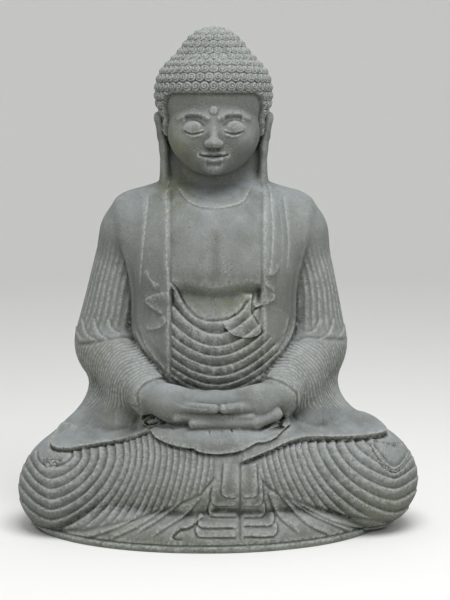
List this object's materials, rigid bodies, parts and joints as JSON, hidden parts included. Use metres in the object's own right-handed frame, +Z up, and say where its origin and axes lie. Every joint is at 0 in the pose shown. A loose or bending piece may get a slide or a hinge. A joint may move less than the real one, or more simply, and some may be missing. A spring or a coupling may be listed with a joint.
{
  "type": "seated buddha statue",
  "caption": "Seated Buddha garden statue in cast volcanic stone, legs crossed, hands resting in the lap, robe open on the chest.",
  "frame": {"origin": "on the ground under the middle of the statue's box", "axes": "+Z up, -Y towards the front, where the face looks, +X to the right of someone facing the statue"},
  "size_m": [0.6486, 0.4068, 0.8],
  "materials": {
    "cast_stone": "matt, fine-pitted, worn pale on the ridges"
  },
  "bodies": {
    "root": {"seated_figure": "cast_stone"}
  },
  "joints": []
}
